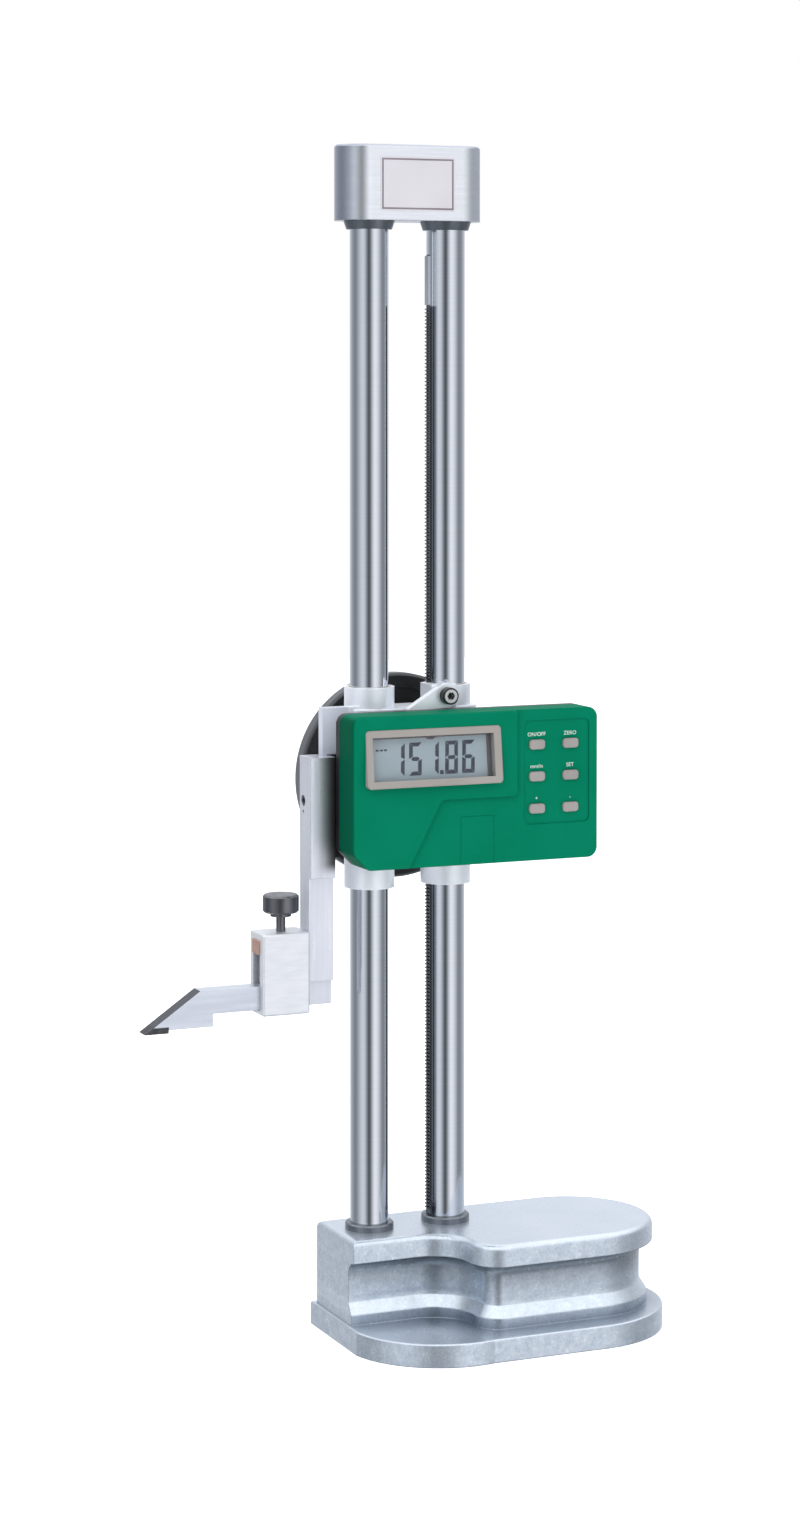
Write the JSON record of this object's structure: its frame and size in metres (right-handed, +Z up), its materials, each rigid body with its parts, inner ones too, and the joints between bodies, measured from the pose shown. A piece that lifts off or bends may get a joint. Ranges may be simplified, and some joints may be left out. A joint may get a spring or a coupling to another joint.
{
  "type": "height gauge",
  "caption": "Twin-column height gauge: heavy cast base, rack-driven slider with handwheel, tilted numeric display, keys, and an arm with a clamped scriber.",
  "frame": {"origin": "on the base's underside, midway between the two columns", "axes": "+X along the line of the columns towards the broad end of the base (the scriber points to -X), -Y is the display side, +Z up along the columns"},
  "size_m": [0.2346, 0.1082, 0.5155],
  "materials": {
    "hammertone": "hammertone enamel",
    "chromed_steel": "ground and chromed",
    "dark_steel": "blackened, bright edge",
    "steel": "machined",
    "bronze": "turned",
    "cap_paint": "satin silver",
    "slider_casting": "satin silver",
    "green_plastic": "satin moulded",
    "bezel_plastic": "satin",
    "clear_window": "clear",
    "display": "grey-blue",
    "circuit_board": "solder mask",
    "black_plastic": "matte",
    "key_plastic": "satin",
    "cell": "bright",
    "arm_steel": "ground",
    "copper": "plain",
    "carbide": "ground",
    "wheel_black": "black with bright rim"
  },
  "bodies": {
    "stand": {"base": "hammertone", "column_bolts": "dark_steel", "column_left": "chromed_steel", "column_right": "chromed_steel", "base_rings": "dark_steel", "cap_collars": "dark_steel", "top_cap": "cap_paint", "cap_screws": "dark_steel", "rack": "steel"},
    "slider": {"slider_frame": "slider_casting", "slider_bushes": "bronze", "shaft_bushes": "bronze", "lock_pad": "copper", "front_cover": "green_plastic", "back_cover": "green_plastic", "cover_screws": "dark_steel", "lcd_bezel": "bezel_plastic", "lcd_window": "clear_window", "lcd_module": "display", "circuit_board": "circuit_board", "key_switches": "black_plastic", "battery": "cell", "battery_clips": "bronze", "arm": "arm_steel", "arm_screw": "dark_steel", "arm_pin": "steel", "scriber_clamp": "arm_steel", "clamp_pad": "copper"},
    "wheel": {"handwheel": "wheel_black", "wheel_shaft": "steel", "wheel_washer": "steel", "wheel_screw": "dark_steel", "pinion": "steel", "encoder_disc": "black_plastic", "crank_pin": "steel"},
    "knob": {"crank_knob": "black_plastic"},
    "lever": {"lock_lever": "steel", "lock_bolt": "dark_steel"},
    "clamp_screw": {"thumb_screw": "dark_steel"},
    "scribing_blade": {"scriber": "arm_steel", "carbide_tip": "carbide"},
    "battery_door": {"battery_cover": "green_plastic"},
    "key_power": {"key_power": "key_plastic"},
    "key_zero": {"key_zero": "key_plastic"},
    "key_units": {"key_units": "key_plastic"},
    "key_preset": {"key_preset": "key_plastic"},
    "key_plus": {"key_plus": "key_plastic"},
    "key_minus": {"key_minus": "key_plastic"}
  },
  "joints": [
    {"name": "slider_travel", "type": "slide", "parent": "stand", "child": "slider", "axis": [0, 0, 1], "range_m": [-0.14, 0.1955]},
    {"name": "handwheel_turn", "type": "hinge", "parent": "slider", "child": "wheel", "pos_m": [0.0035, 0, 0.2402], "axis": [0, 1, 0], "range_deg": [-1340, 1870]},
    {"name": "crank_knob_spin", "type": "hinge", "parent": "wheel", "child": "knob", "pos_m": [-0.03104, 0, 0.24231], "axis": [0, 1, 0], "continuous": true},
    {"name": "lock_lever_turn", "type": "hinge", "parent": "slider", "child": "lever", "pos_m": [0.012, 0, 0.2784], "axis": [0, 1, 0], "range_deg": [0, 50]},
    {"name": "thumb_screw_turn", "type": "hinge", "parent": "slider", "child": "clamp_screw", "pos_m": [-0.0618, -0.007, 0], "axis": [0, 0, 1], "range_deg": [0, 720]},
    {"name": "scriber_slide", "type": "slide", "parent": "slider", "child": "scribing_blade", "axis": [-1, 0, 0], "range_m": [0, 0.008]},
    {"name": "battery_cover_slide", "type": "slide", "parent": "slider", "child": "battery_door", "axis": [0, 0, -1], "range_m": [0, 0.018]},
    {"name": "key_power_press", "type": "slide", "parent": "slider", "child": "key_power", "axis": [0, 1, 0], "range_m": [0, 0.0008], "stiffness_N_per_m": 300, "springref_m": -0.0005},
    {"name": "key_zero_press", "type": "slide", "parent": "slider", "child": "key_zero", "axis": [0, 1, 0], "range_m": [0, 0.0008], "stiffness_N_per_m": 300, "springref_m": -0.0005},
    {"name": "key_units_press", "type": "slide", "parent": "slider", "child": "key_units", "axis": [0, 1, 0], "range_m": [0, 0.0008], "stiffness_N_per_m": 300, "springref_m": -0.0005},
    {"name": "key_preset_press", "type": "slide", "parent": "slider", "child": "key_preset", "axis": [0, 1, 0], "range_m": [0, 0.0008], "stiffness_N_per_m": 300, "springref_m": -0.0005},
    {"name": "key_plus_press", "type": "slide", "parent": "slider", "child": "key_plus", "axis": [0, 1, 0], "range_m": [0, 0.0008], "stiffness_N_per_m": 300, "springref_m": -0.0005},
    {"name": "key_minus_press", "type": "slide", "parent": "slider", "child": "key_minus", "axis": [0, 1, 0], "range_m": [0, 0.0008], "stiffness_N_per_m": 300, "springref_m": -0.0005}
  ],
  "couplings": [
    {"joint": "handwheel_turn", "follows": "slider_travel", "rad_per_m": 166.67}
  ]
}
